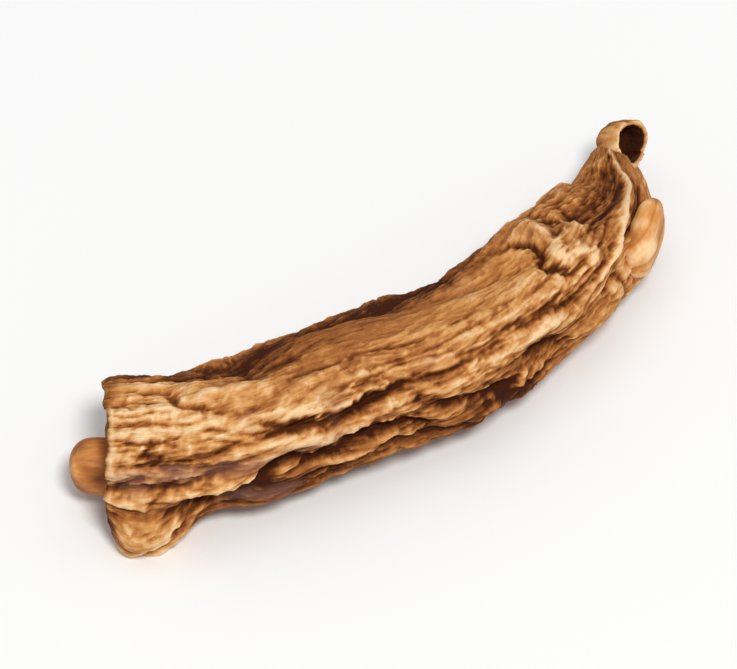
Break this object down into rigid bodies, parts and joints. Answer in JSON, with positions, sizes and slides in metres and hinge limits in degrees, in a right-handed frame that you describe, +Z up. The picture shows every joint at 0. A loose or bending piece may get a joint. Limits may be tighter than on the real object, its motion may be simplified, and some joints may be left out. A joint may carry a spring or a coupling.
{
  "type": "dried root piece",
  "caption": "Bowed, deeply furrowed piece of dried rehmannia root, with a square-cut end, a rounded side knob and a split tip that has curled over.",
  "frame": {"origin": "on the surface it lies on, under the middle of its bounding box", "axes": "+X runs from the cut end to the curled tip, +Z is up, and the outside of the bend faces -Y"},
  "size_m": [0.0352, 0.0118, 0.007],
  "materials": {
    "dried_bark": "matt, wrinkled, dried root bark"
  },
  "bodies": {
    "root": {"root_piece": "dried_bark"}
  },
  "joints": []
}
